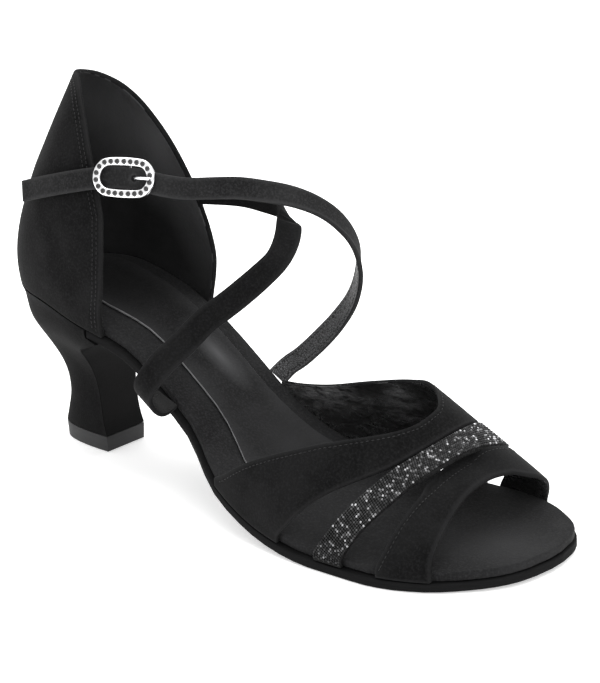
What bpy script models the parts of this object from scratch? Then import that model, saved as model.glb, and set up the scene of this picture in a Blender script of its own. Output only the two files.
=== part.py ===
"""Ballroom dance sandal, right shoe: closed high back, peep toe, crossed instep straps, flared heel.

The model's frame has +X toward the toe, +Y toward the medial side and +Z up.
All lengths are in metres.  Tables hold shares of the named sizes that they follow.
"""

import math

import bmesh
import bpy
import numpy as np
from mathutils import Matrix, Vector

# Foot-bed
LENGTH = 0.2268
BALL_WIDTH = 0.0758
WAIST_WIDTH = 0.0452
SEAT_WIDTH = 0.0510
INSOLE_T = 0.0030
SOCK_T = 0.0010
SOCK_START = 0.012
SOCK_END = 0.136
SOCK_INSET_LATERAL = 0.0125
SOCK_INSET_MEDIAL = 0.0075

# Outsole and heel
SEAT_HEIGHT = 0.0643
OUTSOLE_T = 0.0030
OUTSOLE_START = 0.050
TOE_SPRING = 0.0012
TOE_LEDGE = 0.0007
HEEL_LENGTH = 0.0610
TIP_T = 0.0060
TIP_TAPER = 0.0003

# Upper
COUNTER_WALL = 0.0022
COUNTER_HEIGHT = 0.0772
LATERAL_QUARTER = 0.0575
MEDIAL_QUARTER = 0.0610
BAND_WALL = 0.0016
FOOT_SLACK = 0.0001
INSTEP_HEIGHT = 0.0490
ANKLE_STRAP_WIDTH = 0.0075
CROSS_STRAP_WIDTH = 0.0091
STRAP_T = 0.0017
STRAP_TAIL = 0.0412
TAIL_DROP = 0.0092
TAIL_SLACK = 0.0004
STRAP_FOOT_CLEAR = 0.0011

# Buckle
RING_LENGTH = 0.0236
RING_HEIGHT = 0.0140
RING_BAND = 0.0030
RING_T = 0.0018
BAR_RADIUS = 0.0008
PRONG_RADIUS = 0.0006
PRONG_HOLE = 0.0032
BUCKLE_REACH = 0.0141
BUCKLE_SLACK = 0.0014
RING_SLACK = 0.0002
TAB_T = 0.0012

# Fits and facets
BED_STATIONS = 52
GAP = 0.0003
STITCHED_GAP = 0.0003
STATION_CLEAR = 0.001

# Foot-bed outline: along is a share of LENGTH, the three width columns are
# shares of their own width for the half width, centre is a share of BALL_WIDTH.
OUTLINE = [
    # along, seat, waist, ball, centre
    (0.000, 0.000, 0.000, 0.000, 0.000),
    (0.013, 0.205, 0.000, 0.000, 0.000),
    (0.044, 0.360, 0.000, 0.000, 0.000),
    (0.105, 0.470, 0.000, 0.000, -0.001),
    (0.197, 0.500, 0.000, 0.000, -0.004),
    (0.306, 0.000, 0.503, 0.000, 0.000),
    (0.416, 0.000, 0.503, 0.000, -0.017),
    (0.525, 0.000, 0.000, 0.378, -0.068),
    (0.634, 0.000, 0.000, 0.456, -0.045),
    (0.722, 0.000, 0.000, 0.498, -0.016),
    (0.809, 0.000, 0.000, 0.500, -0.005),
    (0.888, 0.000, 0.000, 0.455, 0.018),
    (0.949, 0.000, 0.000, 0.343, 0.038),
    (0.985, 0.000, 0.000, 0.215, 0.056),
    (1.000, 0.000, 0.000, 0.000, 0.072),
]

# Side profile: rise is a share of the seat's height over the tread, spring of TOE_SPRING.
PROFILE = [
    # along, rise, spring
    (0.000, 1.000, 0.00),
    (0.096, 0.979, 0.00),
    (0.197, 0.884, 0.00),
    (0.284, 0.769, 0.00),
    (0.372, 0.563, 0.00),
    (0.460, 0.336, 0.00),
    (0.547, 0.143, 0.00),
    (0.634, 0.038, 0.00),
    (0.690, 0.008, 0.00),
    (0.731, 0.000, 0.00),
    (0.858, 0.000, 0.00),
    (0.929, 0.000, 0.25),
    (1.000, 0.000, 1.00),
]

# Heel sections from the tip's top to the seat: rise is a share of the height between them,
# back and breast are shares of HEEL_LENGTH from the counter's rear, half width of SEAT_WIDTH.
HEEL = [
    # rise, back, breast, half_width, roundness
    (0.00, 0.157, 0.642, 0.188, 2.5),
    (0.10, 0.190, 0.617, 0.184, 2.5),
    (0.22, 0.218, 0.607, 0.180, 2.4),
    (0.34, 0.205, 0.600, 0.186, 2.3),
    (0.44, 0.166, 0.598, 0.208, 2.3),
    (0.54, 0.105, 0.607, 0.258, 2.3),
    (0.63, 0.058, 0.618, 0.325, 2.3),
    (0.69, 0.034, 0.645, 0.380, 2.3),
    (0.75, 0.026, 0.713, 0.440, 2.4),
    (0.82, 0.019, 0.810, 0.494, 2.4),
    (0.90, 0.010, 0.915, 0.530, 2.4),
    (1.00, 0.000, 1.000, 0.552, 2.5),
]

# Counter sections: above is a share of COUNTER_HEIGHT over the feather line, back and front
# are moves of the rear and of the front edge as shares of MEDIAL_QUARTER, width is a factor.
COUNTER = [
    # above, back, front, width
    (0.00, 0.000, 0.000, 1.000),
    (0.07, -0.006, 0.006, 1.036),
    (0.15, 0.000, 0.024, 1.056),
    (0.26, 0.028, 0.045, 1.044),
    (0.38, 0.082, 0.040, 0.985),
    (0.50, 0.152, 0.020, 0.905),
    (0.62, 0.235, 0.005, 0.820),
    (0.74, 0.318, 0.000, 0.710),
    (0.86, 0.390, 0.000, 0.550),
    (0.95, 0.436, 0.000, 0.370),
    (1.00, 0.460, 0.000, 0.240),
]

# Topline: forward is the share of the way from the rear to the front edge,
# lateral and medial are heights as shares of COUNTER_HEIGHT over the seat.
TOPLINE = [
    # forward, lateral, medial
    (0.00, 1.000, 1.000),
    (0.13, 0.990, 0.990),
    (0.34, 0.945, 0.948),
    (0.56, 0.855, 0.862),
    (0.74, 0.735, 0.725),
    (0.88, 0.610, 0.585),
    (0.96, 0.500, 0.470),
    (1.00, 0.420, 0.390),
]

# Form of the forefoot under the bands: ridge is a share of INSTEP_HEIGHT over the foot-bed,
# shift moves the ridge toward the medial side as a share of BALL_WIDTH.
FOREFOOT = [
    # along, ridge, shift, roundness
    (0.397, 1.353, 0.08, 1.85),
    (0.520, 1.263, 0.08, 1.85),
    (0.617, 1.143, 0.08, 1.85),
    (0.714, 0.963, 0.09, 1.85),
    (0.754, 0.853, 0.10, 1.85),
    (0.787, 0.743, 0.11, 1.85),
    (0.831, 0.588, 0.13, 1.85),
    (0.867, 0.468, 0.16, 1.80),
    (0.909, 0.328, 0.18, 1.80),
    (0.957, 0.173, 0.18, 1.80),
]

# Bands over the forefoot: over is the share of the arch from the lateral foot to the
# medial foot, rear and front are places along LENGTH.
VAMP = [
    # over, rear, front
    (0.00, 0.520, 0.661),
    (0.10, 0.590, 0.711),
    (0.22, 0.694, 0.777),
    (0.29, 0.747, 0.802),
    (0.36, 0.778, 0.814),
    (0.43, 0.791, 0.819),
    (0.50, 0.788, 0.820),
    (0.56, 0.775, 0.818),
    (0.62, 0.753, 0.813),
    (0.70, 0.710, 0.802),
    (0.78, 0.648, 0.783),
    (0.86, 0.570, 0.754),
    (1.00, 0.430, 0.692),
]
GLITTER = [
    # over, rear, front
    (0.00, 0.731, 0.780),
    (0.10, 0.764, 0.804),
    (0.22, 0.795, 0.828),
    (0.29, 0.807, 0.836),
    (0.36, 0.817, 0.843),
    (0.43, 0.822, 0.848),
    (0.50, 0.8235, 0.853),
    (0.56, 0.8215, 0.855),
    (0.62, 0.8165, 0.855),
    (0.70, 0.8055, 0.850),
    (0.78, 0.7865, 0.836),
    (0.86, 0.7575, 0.815),
    (1.00, 0.7250, 0.775),
]
TOE_BAND = [
    # over, rear, front
    (0.00, 0.836, 0.909),
    (0.10, 0.846, 0.905),
    (0.22, 0.850, 0.897),
    (0.29, 0.852, 0.891),
    (0.36, 0.8515, 0.887),
    (0.43, 0.8520, 0.889),
    (0.50, 0.8545, 0.897),
    (0.56, 0.8565, 0.904),
    (0.62, 0.8565, 0.908),
    (0.70, 0.8525, 0.909),
    (0.78, 0.8420, 0.906),
    (0.86, 0.8280, 0.900),
    (1.00, 0.8000, 0.888),
]

# Straps: along and across are shares of LENGTH and BALL_WIDTH, above is a share of
# COUNTER_HEIGHT over the foot-bed, and wide points along the strap's width.
ANKLE_STRAP = [
    # along, across, above, wide
    (0.424, 0.365, 0.040, (0.70, -0.26, -0.66)),
    (0.442, 0.387, 0.117, (0.71, -0.25, -0.66)),
    (0.475, 0.424, 0.278, (0.75, -0.18, -0.64)),
    (0.506, 0.455, 0.443, (0.79, -0.33, -0.51)),
    (0.532, 0.474, 0.603, (0.79, -0.51, -0.35)),
    (0.546, 0.475, 0.753, (0.75, -0.65, -0.10)),
    (0.542, 0.469, 0.868, (0.50, -0.86, 0.00)),
    (0.523, 0.436, 0.942, (0.38, -0.86, -0.34)),
    (0.508, 0.347, 1.001, (0.45, -0.66, -0.60)),
    (0.490, 0.233, 1.031, (0.39, -0.53, -0.76)),
    (0.469, 0.119, 1.030, (0.28, -0.44, -0.85)),
    (0.443, 0.027, 1.004, (0.21, -0.35, -0.91)),
    (0.415, -0.058, 0.952, (0.17, -0.22, -0.96)),
    (0.386, -0.141, 0.896, (0.11, -0.15, -0.98)),
]
CROSS_STRAP = [
    # along, across, above, wide
    (0.387, -0.405, -0.040, (-0.87, 0.08, 0.48)),
    (0.388, -0.464, 0.005, (-0.88, 0.14, 0.45)),
    (0.392, -0.497, 0.070, (-0.90, 0.09, 0.42)),
    (0.403, -0.492, 0.150, (-0.86, -0.02, 0.50)),
    (0.418, -0.435, 0.261, (-0.77, -0.18, 0.60)),
    (0.430, -0.330, 0.356, (-0.72, -0.20, 0.66)),
    (0.443, -0.231, 0.462, (-0.66, -0.22, 0.72)),
    (0.454, -0.165, 0.524, (-0.64, -0.20, 0.74)),
    (0.469, -0.086, 0.607, (-0.68, -0.16, 0.71)),
    (0.490, 0.007, 0.728, (-0.82, -0.05, 0.57)),
    (0.502, 0.073, 0.812, (-0.90, 0.00, 0.43)),
    (0.495, 0.162, 0.867, (-0.89, 0.04, 0.45)),
    (0.472, 0.250, 0.883, (-0.74, 0.02, 0.67)),
    (0.434, 0.310, 0.842, (-0.42, -0.10, 0.90)),
    (0.399, 0.318, 0.780, (-0.20, -0.16, 0.97)),
    (0.349, 0.323, 0.688, (-0.12, -0.06, 0.99)),
]

# Heights on the quarters' front edges, as shares of COUNTER_HEIGHT over the seat, and the
# way from the quarter to the buckle, forward and toward the medial side.
FRONT_EDGE = {"buckle": 0.588, "cross_strap": 0.42}
BUCKLE_HEADING = (0.94, 0.34)

# Section of the buckle's ring: across is a share of half of RING_BAND, lift of RING_T.
RING_SECTION = [
    # across, lift
    (-1.0, 0.15),
    (-1.0, 0.75),
    (-0.5, 1.00),
    (0.5, 1.00),
    (1.0, 0.75),
    (1.0, 0.15),
    (0.7, 0.00),
    (-0.7, 0.00),
]

# Turns where the foot-bed's layers start and end, and the shares of LENGTH between which the
# outsole's margin narrows to TOE_LEDGE.
BED_TURNS = (0.02, 0.985)
LEDGE_SHARES = (0.86, 0.94)

LATERAL, MEDIAL = -1, 1


class Curve:
    """Smooth, never overshooting curve through the rows of a table."""

    def __init__(self, places, values):
        self.x = np.asarray(places, float)
        self.y = np.asarray(values, float)
        step = np.diff(self.x)
        slope = np.diff(self.y) / step
        tangent = np.zeros(len(self.x))
        for i in range(1, len(self.x) - 1):
            if slope[i - 1] * slope[i] > 0:
                a = 2 * step[i] + step[i - 1]
                b = step[i] + 2 * step[i - 1]
                tangent[i] = (a + b) / (a / slope[i - 1] + b / slope[i])
        tangent[0] = slope[0]
        tangent[-1] = slope[-1]
        self.tangent = tangent

    def __call__(self, place):
        i = int(np.clip(np.searchsorted(self.x, place) - 1, 0, len(self.x) - 2))
        step = self.x[i + 1] - self.x[i]
        t = min(max((place - self.x[i]) / step, 0.0), 1.0)
        a = (1 + 2 * t) * (1 - t) ** 2 * self.y[i]
        b = t * (1 - t) ** 2 * step * self.tangent[i]
        c = t * t * (3 - 2 * t) * self.y[i + 1]
        d = t * t * (t - 1) * step * self.tangent[i + 1]
        return a + b + c + d


def column(table, index):
    return [row[index] for row in table]


def turn_of(share):
    """Even turn from the heel's back to the toe's tip, which gives both ends a round."""
    return math.acos(1 - 2 * min(max(share, 0.0), 1.0)) / math.pi


def share_of(turn):
    return (1 - math.cos(math.pi * turn)) / 2


outline_turns = [turn_of(row[0]) for row in OUTLINE]
half_width = Curve(
    outline_turns,
    [row[1] * SEAT_WIDTH + row[2] * WAIST_WIDTH + row[3] * BALL_WIDTH for row in OUTLINE],
)
centre_line = Curve(outline_turns, [row[4] * BALL_WIDTH for row in OUTLINE])
rise = Curve(column(PROFILE, 0), column(PROFILE, 1))
spring = Curve(column(PROFILE, 0), column(PROFILE, 2))


def insole_underside(x):
    tread = OUTSOLE_T + GAP
    share = x / LENGTH
    return tread + (SEAT_HEIGHT - tread) * rise(share) + TOE_SPRING * spring(share)


def insole_top(x):
    return insole_underside(x) + INSOLE_T


def outsole_top(x):
    return insole_underside(x) - GAP


def edge(turn, side, out=0.0):
    """Point of the foot-bed's outline, moved out by a distance square to it."""
    def point(t):
        t = min(max(t, 0.0), 1.0)
        return Vector((LENGTH * share_of(t), centre_line(t) + side * half_width(t), 0))

    step = 0.002
    along = point(turn + step) - point(turn - step)
    normal = Vector((-side * along.y, side * along.x, 0))
    return point(turn) + normal.normalized() * out


def turn_at(x, side, out=0.0):
    """Turn at which the outline, moved out, passes a place along the shoe."""
    low, high = 0.0, 1.0
    for _ in range(40):
        middle = (low + high) / 2
        if edge(middle, side, out).x < x:
            low = middle
        else:
            high = middle
    return (low + high) / 2


def edge_at(x, side, out=0.0):
    return edge(turn_at(x, side, out), side, out)


def material(name, colour, roughness, metallic=0.0):
    finish = bpy.data.materials.new(name)
    finish.use_nodes = True
    shader = finish.node_tree.nodes["Principled BSDF"]
    shader.inputs["Base Color"].default_value = (*colour, 1.0)
    shader.inputs["Roughness"].default_value = roughness
    shader.inputs["Metallic"].default_value = metallic
    return finish


def make_object(name, vertices, faces, finish):
    mesh = bpy.data.meshes.new(name)
    mesh.from_pydata([tuple(v) for v in vertices], [], faces)
    work = bmesh.new()
    work.from_mesh(mesh)
    bmesh.ops.recalc_face_normals(work, faces=work.faces)
    work.to_mesh(mesh)
    work.free()
    mesh.materials.append(finish)
    mesh.shade_smooth()
    mesh.set_sharp_from_angle(angle=math.radians(35))
    piece = bpy.data.objects.new(name, mesh)
    bpy.context.scene.collection.objects.link(piece)
    return piece


def wall(name, outer, inner, finish):
    """Closed solid between two grids of points that face each other."""
    rows, columns = len(outer), len(outer[0])
    vertices = [p for row in outer for p in row] + [p for row in inner for p in row]
    under = rows * columns

    def at(i, j, side):
        return side * under + i * columns + j

    faces = []
    for i in range(rows - 1):
        for j in range(columns - 1):
            faces.append((at(i, j, 0), at(i + 1, j, 0), at(i + 1, j + 1, 0), at(i, j + 1, 0)))
            faces.append((at(i, j, 1), at(i, j + 1, 1), at(i + 1, j + 1, 1), at(i + 1, j, 1)))
    for i in range(rows - 1):
        for j in (0, columns - 1):
            faces.append((at(i, j, 0), at(i, j, 1), at(i + 1, j, 1), at(i + 1, j, 0)))
    for j in range(columns - 1):
        for i in (0, rows - 1):
            faces.append((at(i, j, 0), at(i, j + 1, 0), at(i, j + 1, 1), at(i, j, 1)))
    return make_object(name, vertices, faces, finish)


def stack(name, rings, finish, closed=False):
    """Solid through rings of points, capped at both ends unless the last meets the first."""
    count = len(rings[0])
    vertices = [p for ring in rings for p in ring]
    faces = []
    last = len(rings) if closed else len(rings) - 1
    for i in range(last):
        for j in range(count):
            a = i * count
            b = (i + 1) % len(rings) * count
            k = (j + 1) % count
            faces.append((a + j, a + k, b + k, b + j))
    if not closed:
        faces.append(tuple(range(count)))
        faces.append(tuple((len(rings) - 1) * count + j for j in range(count)))
    return make_object(name, vertices, faces, finish)


def apply_cut(piece, cutter, operation="DIFFERENCE"):
    """Boolean cut that stays on the piece; the cutter is a guide and isn't a part."""
    cutter.hide_render = True
    cutter.display_type = "WIRE"
    cut = piece.modifiers.new(operation.title(), "BOOLEAN")
    cut.operation = operation
    cut.solver = "EXACT"
    cut.object = cutter


def spread(start, end, count):
    return [start + (end - start) * i / (count - 1) for i in range(count)]


def stations(start, end):
    """Places along the shoe where every layer of the bottom bends, so that layers nest."""
    places = [LENGTH * share_of(turn) for turn in spread(*BED_TURNS, BED_STATIONS)]
    inside = [x for x in places if start + STATION_CLEAR < x < end - STATION_CLEAR]
    return [start, *inside, end]


def slab(name, places, lateral_out, medial_out, low, high, finish):
    """Layer of the bottom between two heights, over the outline moved out by side."""
    top, bottom = [], []
    for x in places:
        left = edge_at(x, MEDIAL, medial_out(x))
        right = edge_at(x, LATERAL, lateral_out(x))
        top.append([Vector((x, right.y, high(x))), Vector((x, left.y, high(x)))])
        bottom.append([Vector((x, right.y, low(x))), Vector((x, left.y, low(x)))])
    return wall(name, top, bottom, finish)


def flush(x):
    return 0.0


def make_insole(finish):
    places = stations(*[LENGTH * share_of(turn) for turn in BED_TURNS])
    return slab("insole", places, flush, flush, insole_underside, insole_top, finish)


def make_sock_pad(finish):
    def low(x):
        return insole_top(x) + GAP

    def high(x):
        return low(x) + SOCK_T

    def lateral(x):
        return -SOCK_INSET_LATERAL

    def medial(x):
        return -SOCK_INSET_MEDIAL

    return slab("sock_pad", stations(SOCK_START, SOCK_END), lateral, medial, low, high, finish)


def outsole_margin(x):
    """The outsole stands out as far as the bands' walls, and less round the toe."""
    full = BAND_WALL + GAP
    start, end = LEDGE_SHARES
    toe = min(max((x / LENGTH - start) / (end - start), 0.0), 1.0)
    return full + (TOE_LEDGE - full) * toe


def make_outsole(finish, name="outsole", grow=0.0, wider=0.0):
    def margin(x):
        return outsole_margin(x) + grow + wider

    def high(x):
        return outsole_top(x) + grow

    def low(x):
        return outsole_top(x) - OUTSOLE_T - grow

    places = stations(OUTSOLE_START - grow, LENGTH + TOE_LEDGE * 0.9)
    return slab(name, places, margin, margin, low, high, finish)


def round_back(back, breast, half, roundness, count=27):
    """Plan of the heel from one corner of its flat breast round the back to the other."""
    points = []
    for k in range(count):
        angle = math.pi * k / (count - 1)
        deep = max(math.sin(angle), 0.0) ** (2 / roundness)
        wide = abs(math.cos(angle)) ** (2 / roundness)
        across = -math.copysign(wide, math.cos(angle)) * half
        points.append((breast - (breast - back) * deep, across))
    return points


def make_heel(finish):
    rear = edge(0.0, MEDIAL).x - COUNTER_WALL - GAP
    seat_gap = TIP_T + GAP
    curves = [Curve(column(HEEL, 0), column(HEEL, i)) for i in range(1, 5)]
    rings = []
    for share in spread(0.0, 1.0, 18):
        back, breast, half, roundness = (curve(share) for curve in curves)
        plan = round_back(
            rear + back * HEEL_LENGTH,
            rear + breast * HEEL_LENGTH,
            half * SEAT_WIDTH,
            roundness,
        )
        ring = []
        for x, y in plan:
            top = insole_underside(x) - GAP
            ring.append(Vector((x, y, seat_gap + (top - seat_gap) * share)))
        rings.append(ring)
    seat = []
    for k, p in enumerate(rings[-1]):
        side = LATERAL if p.y < 0 else MEDIAL
        if k == len(rings[-1]) // 2:
            q = edge(0.0, MEDIAL, COUNTER_WALL + GAP)
        else:
            q = edge_at(p.x, side, COUNTER_WALL + GAP)
        seat.append(Vector((q.x, q.y, insole_underside(q.x) - GAP)))
    rings[-1] = seat
    heel = stack("heel", rings, finish)
    cutter = make_outsole(finish, "outsole_seat_guide", GAP, COUNTER_WALL)
    apply_cut(heel, cutter)
    return heel


def make_heel_tip(finish):
    """Top lift under the heel, a little smaller at the floor."""
    rear = edge(0.0, MEDIAL).x - COUNTER_WALL - GAP
    back, breast, half = (HEEL[0][i] for i in (1, 2, 3))
    rings = []
    for z, trim in ((0.0, TIP_TAPER), (TIP_T, 0.0)):
        plan = round_back(
            rear + back * HEEL_LENGTH + trim,
            rear + breast * HEEL_LENGTH - trim,
            half * SEAT_WIDTH - trim,
            HEEL[0][4],
        )
        rings.append([Vector((x, y, z)) for x, y in plan])
    return stack("heel_tip", rings, finish)


class Counter:
    """Outer surface of the closed back, from the feather line to the topline."""

    def __init__(self):
        out = COUNTER_WALL + GAP
        self.length = {LATERAL: LATERAL_QUARTER, MEDIAL: MEDIAL_QUARTER}
        self.front_turn = {side: turn_at(self.length[side], side, out) for side in self.length}
        self.back = Curve(column(COUNTER, 0), column(COUNTER, 1))
        self.front = Curve(column(COUNTER, 0), column(COUNTER, 2))
        self.width = Curve(column(COUNTER, 0), column(COUNTER, 3))
        self.top = {
            LATERAL: Curve(column(TOPLINE, 0), column(TOPLINE, 1)),
            MEDIAL: Curve(column(TOPLINE, 0), column(TOPLINE, 2)),
        }

    def foot(self, q):
        side = LATERAL if q < 0 else MEDIAL
        out = COUNTER_WALL + GAP
        return edge(self.front_turn[side] * abs(q), side, out)

    def point(self, q, above):
        """q runs from -1 at the lateral front edge to 1 at the medial one."""
        side = LATERAL if q < 0 else MEDIAL
        base = self.foot(q)
        rear = self.foot(0.0).x
        reach = self.length[side] - rear
        forward = (base.x - rear) / reach
        share = above / COUNTER_HEIGHT
        back = self.back(share) * MEDIAL_QUARTER
        front = self.front(share) * MEDIAL_QUARTER
        x = rear + back + (reach + front - back) * forward
        y = base.y * self.width(share)
        return Vector((x, y, insole_underside(base.x) + above))

    def height(self, q):
        """Height of the topline over the feather line at q."""
        side = LATERAL if q < 0 else MEDIAL
        base = self.foot(q)
        rear = self.foot(0.0).x
        forward = (base.x - rear) / (self.length[side] - rear)
        top = SEAT_HEIGHT + self.top[side](forward) * COUNTER_HEIGHT
        return top - insole_underside(base.x)

    def outer(self, q, v):
        return self.point(q, self.height(q) * v)

    def normal(self, q, v):
        step = 0.004
        q0, q1 = max(q - step, -1.0), min(q + step, 1.0)
        v0, v1 = max(v - step, 0.0), min(v + step, 1.0)
        across = self.outer(q1, v) - self.outer(q0, v)
        up = self.outer(q, v1) - self.outer(q, v0)
        return up.cross(across).normalized()

    def inner(self, q, v):
        normal = self.normal(q, v)
        p = self.outer(q, v)
        middle = Vector((self.foot(1.0).x, 0, p.z))
        if normal.dot(middle - p) > 0:
            normal = -normal
        return p - normal * COUNTER_WALL

    def at_height(self, q, z):
        return self.point(q, z - insole_underside(self.foot(q).x))

    def half_at(self, x, z, side):
        """Distance of the outer face from the middle at a place and height."""
        places = [self.at_height(side * q, z) for q in spread(0.0, 1.0, 60)]
        return float(np.interp(x, [p.x for p in places], [abs(p.y) for p in places]))

    def front_edge(self, side, z):
        """Middle of the wall's thickness where the free edge stands at a height."""
        best = None
        for q in spread(0.35, 1.0, 131):
            top = self.outer(side * q, 1.0).z
            gap = abs(top - z)
            if best is None or gap < best[0]:
                best = (gap, q)
        if self.outer(side * 1.0, 1.0).z >= z:
            q = 1.0
        else:
            q = best[1]
        v = min((z - self.outer(side * q, 0.0).z) / self.height(side * q), 1.0)
        return (self.outer(side * q, v) + self.inner(side * q, v)) / 2


def make_counter(counter, finish):
    outer, inner = [], []
    for k in range(41):
        q = math.sin((k / 40 - 0.5) * math.pi) * 0.35 + (k / 40 - 0.5) * 2 * 0.65
        outer.append([counter.outer(q, v) for v in spread(0.0, 1.0, 13)])
        inner.append([counter.inner(q, v) for v in spread(0.0, 1.0, 13)])
    return wall("counter", outer, inner, finish)


class Forefoot:
    """Arched surface that the bands lie on, out to their outer faces."""

    def __init__(self):
        self.ridge = Curve(column(FOREFOOT, 0), column(FOREFOOT, 1))
        self.shift = Curve(column(FOREFOOT, 0), column(FOREFOOT, 2))
        self.roundness = Curve(column(FOREFOOT, 0), column(FOREFOOT, 3))

    def point(self, x, over, depth=0.0):
        """over runs from 0 at the lateral foot to 1 at the medial foot."""
        out = GAP + BAND_WALL - depth
        share = x / LENGTH
        lateral = edge_at(x, LATERAL, out)
        medial = edge_at(x, MEDIAL, out)
        foot = insole_top(x)
        top_y = (lateral.y + medial.y) / 2 + self.shift(share) * BALL_WIDTH
        rise_to = self.ridge(share) * INSTEP_HEIGHT - depth
        angle = math.pi * over
        power = 2 / self.roundness(share)
        side = lateral if over < 0.5 else medial
        across = abs(math.cos(angle)) ** power
        up = max(math.sin(angle), 0.0) ** power
        return Vector((x, top_y + (side.y - top_y) * across, foot + rise_to * up))


def make_band(forefoot, name, table, steps, finish):
    """Band over the arch, with an upright foot on the outsole beside the insole."""
    rear = Curve(column(table, 0), column(table, 1))
    front = Curve(column(table, 0), column(table, 2))

    def row(over, depth, foot):
        points = []
        for share in spread(rear(over), front(over), steps):
            p = forefoot.point(LENGTH * share, over, depth)
            if foot:
                p.z = outsole_top(p.x) + GAP + FOOT_SLACK
            points.append(p)
        return points

    overs = spread(0.0, 1.0, 35)
    rows = [(0.0, True), *[(over, False) for over in overs], (1.0, True)]
    outer = [row(over, 0.0, foot) for over, foot in rows]
    inner = [row(over, BAND_WALL, foot) for over, foot in rows]
    return wall(name, outer, inner, finish)


def smooth_path(points, widths, count):
    """Even points along a smooth path, each with its strap's width direction."""
    points = [Vector(p) for p in points]
    lengths = [0.0]
    for a, b in zip(points, points[1:]):
        lengths.append(lengths[-1] + (b - a).length)
    values = [[p[i] for p in points] for i in range(3)]
    turns = [[Vector(w).normalized()[i] for w in widths] for i in range(3)]

    def spline(places, column_values, s):
        i = int(np.clip(np.searchsorted(places, s) - 1, 0, len(places) - 2))
        step = places[i + 1] - places[i]
        t = (s - places[i]) / step

        def slope(k):
            a, b = max(k - 1, 0), min(k + 1, len(places) - 1)
            return (column_values[b] - column_values[a]) / (places[b] - places[a])

        h = (1 + 2 * t) * (1 - t) ** 2, t * (1 - t) ** 2, t * t * (3 - 2 * t), t * t * (t - 1)
        return (h[0] * column_values[i] + h[1] * step * slope(i)
                + h[2] * column_values[i + 1] + h[3] * step * slope(i + 1))

    stations = []
    for s in spread(0.0, lengths[-1], count):
        p = Vector([spline(lengths, values[i], s) for i in range(3)])
        w = Vector([spline(lengths, turns[i], s) for i in range(3)])
        stations.append((p, w))
    frames = []
    for k, (p, w) in enumerate(stations):
        ahead = stations[min(k + 1, count - 1)][0] - stations[max(k - 1, 0)][0]
        ahead.normalize()
        w = (w - ahead * w.dot(ahead)).normalized()
        frames.append((p, w, ahead.cross(w).normalized()))
    return frames


def make_ribbon(name, frames, width, thickness, finish):
    rings = []
    for p, w, n in frames:
        a, b = w * width / 2, n * thickness / 2
        rings.append([p - a - b, p + a - b, p + a + b, p - a + b])
    return stack(name, rings, finish)


def above_bed(row):
    along, across, above, wide = row
    x = along * LENGTH
    return Vector((x, across * BALL_WIDTH, insole_top(x) + above * COUNTER_HEIGHT)), Vector(wide)


class BuckleSeat:
    """Place of the buckle: in front of the lateral quarter's edge, leaning as its wall does."""

    def __init__(self, counter):
        z = SEAT_HEIGHT + FRONT_EDGE["buckle"] * COUNTER_HEIGHT
        self.counter = counter
        self.edge = counter.front_edge(LATERAL, z)
        half = ANKLE_STRAP_WIDTH / 2
        rear_x = self.edge.x - ANKLE_STRAP_WIDTH
        low = counter.half_at(rear_x, z - half, LATERAL)
        high = counter.half_at(rear_x, z + half, LATERAL)
        self.up = Vector((0, low - high, 2 * half)).normalized()
        self.forward = Vector((*BUCKLE_HEADING, 0.0)).normalized()
        self.up = (self.up - self.forward * self.up.dot(self.forward)).normalized()
        self.out = self.forward.cross(self.up).normalized()
        lift = COUNTER_WALL / 2 + GAP + STRAP_T / 2 + BUCKLE_SLACK
        self.centre = self.edge + self.forward * BUCKLE_REACH + self.out * lift

    def at(self, along, out, up):
        return self.centre + self.forward * along + self.out * out + self.up * up


def make_ankle_strap(counter, seat, finish):
    points, widths = [], []
    foot_x = 0.5 * (ANKLE_STRAP[0][0] + ANKLE_STRAP[1][0]) * LENGTH - 0.6 * ANKLE_STRAP_WIDTH
    foot = edge_at(foot_x, MEDIAL, GAP + STRAP_T / 2 + STRAP_FOOT_CLEAR)
    points.append(Vector((foot.x, foot.y, outsole_top(foot.x) + 2 * GAP + FOOT_SLACK)))
    widths.append(Vector((0.74, 0.02, -0.67)))
    for row in ANKLE_STRAP:
        p, w = above_bed(row)
        points.append(p)
        widths.append(w)
    for along, drop in ((0.55, 0.076), (0.25, 0.025), (0.0, 0.0), (-0.25, 0.0)):
        points.append(seat.at(along * RING_LENGTH, 0, -drop * RING_LENGTH))
        widths.append(-seat.up)
    z = seat.centre.z
    clear = GAP + STRAP_T / 2 + TAIL_SLACK
    x, y = points[-1].x, points[-1].y
    steps = 5
    for k in range(1, steps + 1):
        place = x - STRAP_TAIL * k / steps
        drop = -TAIL_DROP * (k / steps) ** 1.3
        reach = 0.0
        for d in (-0.55, 0.0, 0.55):
            rib = seat.up * d * ANKLE_STRAP_WIDTH
            reach = max(reach, counter.half_at(place, z + drop + rib.z, LATERAL) + rib.y)
        y = min(y, -(reach + clear))
        points.append(Vector((place, y, z + drop)))
        widths.append(-seat.up)
    frames = smooth_path(points, widths, 84)
    strap = make_ribbon("ankle_strap", frames, ANKLE_STRAP_WIDTH, STRAP_T, finish)
    bpy.ops.mesh.primitive_cylinder_add(
        vertices=12,
        radius=PRONG_RADIUS + 2 * GAP,
        depth=6 * STRAP_T,
        location=seat.at(PRONG_HOLE, 0, 0),
    )
    hole = bpy.context.object
    hole.name = "prong_hole_guide"
    hole.rotation_euler = seat.out.to_track_quat("Z", "Y").to_euler()
    apply_cut(strap, hole)
    return strap


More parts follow.
